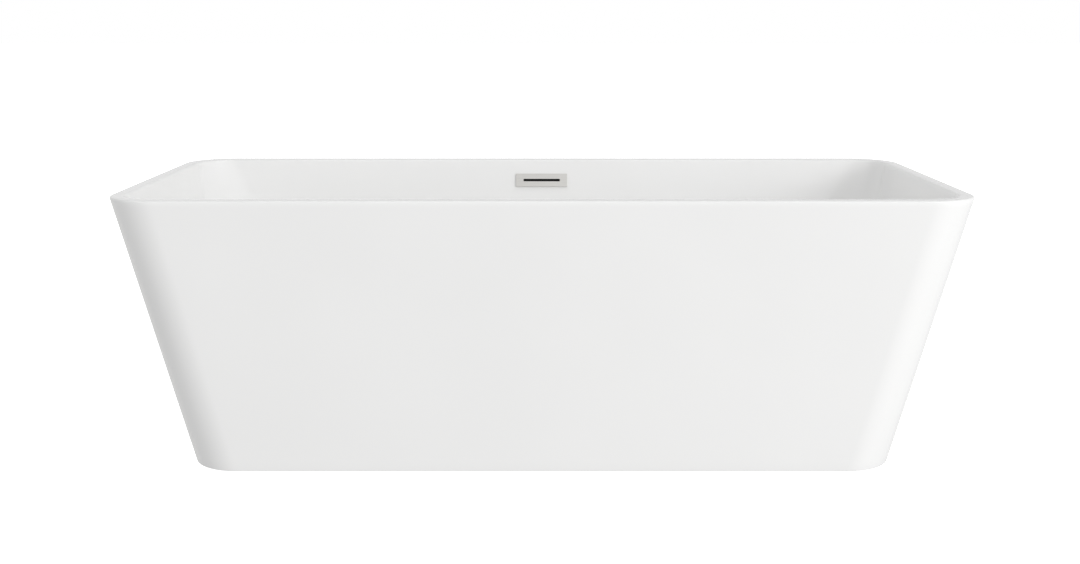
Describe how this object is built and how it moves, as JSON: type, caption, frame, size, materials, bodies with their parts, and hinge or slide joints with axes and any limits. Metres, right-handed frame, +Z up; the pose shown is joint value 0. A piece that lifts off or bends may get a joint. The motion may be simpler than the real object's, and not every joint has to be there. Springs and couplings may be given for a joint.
{
  "type": "freestanding bathtub",
  "caption": "Double-skinned rectangular freestanding bath with tapered sides, narrow flat rim, slotted overflow, toe-tap waste and screw feet.",
  "frame": {"origin": "centre of the footprint, on the floor", "axes": "+X along the tub, +Y towards the overflow wall, +Z up"},
  "size_m": [1.7, 0.8, 0.58],
  "materials": {
    "acrylic_white": "glossy white sanitary acrylic",
    "glass_fibre": "rough resin and chopped glass fibre",
    "adhesive": "cured structural adhesive",
    "board_wood": "raw particle board",
    "frame_steel": "grey powder coat",
    "zinc_steel": "zinc plated",
    "black_rubber": "moulded rubber",
    "brushed_nickel": "satin brushed nickel",
    "waste_plastic": "moulded polypropylene",
    "hose_plastic": "ribbed flexible plastic",
    "brass": "turned brass"
  },
  "bodies": {
    "tub": {"basin": "acrylic_white", "basin_backing": "glass_fibre", "apron": "acrylic_white", "apron_backing": "glass_fibre", "rim_adhesive": "adhesive", "seam_filler": "acrylic_white", "base_board": "board_wood", "frame_rails": "frame_steel", "frame_crossbars": "frame_steel", "rail_end_caps": "black_rubber", "board_screws": "zinc_steel", "skirt_brackets": "frame_steel", "bracket_screws": "zinc_steel", "foot_weld_nuts": "zinc_steel", "foot_lock_nuts": "zinc_steel", "overflow_cover": "brushed_nickel", "overflow_frame": "waste_plastic", "overflow_gasket": "black_rubber", "overflow_body": "waste_plastic", "overflow_screws": "zinc_steel", "overflow_hose": "hose_plastic", "hose_clamps": "zinc_steel", "drain_flange": "brushed_nickel", "flange_seal": "black_rubber", "drain_gasket": "black_rubber", "waste_body": "waste_plastic", "tailpiece": "brushed_nickel", "tailpiece_washer": "black_rubber", "tailpiece_nut": "waste_plastic", "plug_post": "brass", "plug_spring": "zinc_steel"},
    "plug": {"plug_sleeve": "brushed_nickel", "plug_cap": "brushed_nickel", "plug_seal": "black_rubber"},
    "foot_1_pad": {"foot_pad_1": "black_rubber"},
    "foot_1_stud": {"foot_stud_1": "zinc_steel"},
    "foot_2_pad": {"foot_pad_2": "black_rubber"},
    "foot_2_stud": {"foot_stud_2": "zinc_steel"},
    "foot_3_pad": {"foot_pad_3": "black_rubber"},
    "foot_3_stud": {"foot_stud_3": "zinc_steel"},
    "foot_4_pad": {"foot_pad_4": "black_rubber"},
    "foot_4_stud": {"foot_stud_4": "zinc_steel"},
    "foot_5_pad": {"foot_pad_5": "black_rubber"},
    "foot_5_stud": {"foot_stud_5": "zinc_steel"}
  },
  "joints": [
    {"name": "plug_press", "type": "slide", "parent": "tub", "child": "plug", "axis": [0, 0, -1], "range_m": [0, 0.009], "stiffness_N_per_m": 400, "springref_m": -0.006, "deforming": ["plug_spring"]},
    {"name": "foot_1_height", "type": "slide", "parent": "tub", "child": "foot_1_pad", "axis": [0, 0, -1], "range_m": [0, 0.02]},
    {"name": "foot_1_turn", "type": "hinge", "parent": "foot_1_pad", "child": "foot_1_stud", "pos_m": [-0.46, -0.14, 0.05], "axis": [0, 0, -1], "range_deg": [0, 4115]},
    {"name": "foot_2_height", "type": "slide", "parent": "tub", "child": "foot_2_pad", "axis": [0, 0, -1], "range_m": [0, 0.02]},
    {"name": "foot_2_turn", "type": "hinge", "parent": "foot_2_pad", "child": "foot_2_stud", "pos_m": [0.46, -0.14, 0.05], "axis": [0, 0, -1], "range_deg": [0, 4115]},
    {"name": "foot_3_height", "type": "slide", "parent": "tub", "child": "foot_3_pad", "axis": [0, 0, -1], "range_m": [0, 0.02]},
    {"name": "foot_3_turn", "type": "hinge", "parent": "foot_3_pad", "child": "foot_3_stud", "pos_m": [0.46, 0.14, 0.05], "axis": [0, 0, -1], "range_deg": [0, 4115]},
    {"name": "foot_4_height", "type": "slide", "parent": "tub", "child": "foot_4_pad", "axis": [0, 0, -1], "range_m": [0, 0.02]},
    {"name": "foot_4_turn", "type": "hinge", "parent": "foot_4_pad", "child": "foot_4_stud", "pos_m": [-0.46, 0.14, 0.05], "axis": [0, 0, -1], "range_deg": [0, 4115]},
    {"name": "foot_5_height", "type": "slide", "parent": "tub", "child": "foot_5_pad", "axis": [0, 0, -1], "range_m": [0, 0.02]},
    {"name": "foot_5_turn", "type": "hinge", "parent": "foot_5_pad", "child": "foot_5_stud", "pos_m": [-0.16, 0, 0.05], "axis": [0, 0, -1], "range_deg": [0, 4115]}
  ],
  "couplings": [
    {"joint": "foot_1_turn", "follows": "foot_1_height", "rad_per_m": 3590.4},
    {"joint": "foot_2_turn", "follows": "foot_2_height", "rad_per_m": 3590.4},
    {"joint": "foot_3_turn", "follows": "foot_3_height", "rad_per_m": 3590.4},
    {"joint": "foot_4_turn", "follows": "foot_4_height", "rad_per_m": 3590.4},
    {"joint": "foot_5_turn", "follows": "foot_5_height", "rad_per_m": 3590.4}
  ]
}
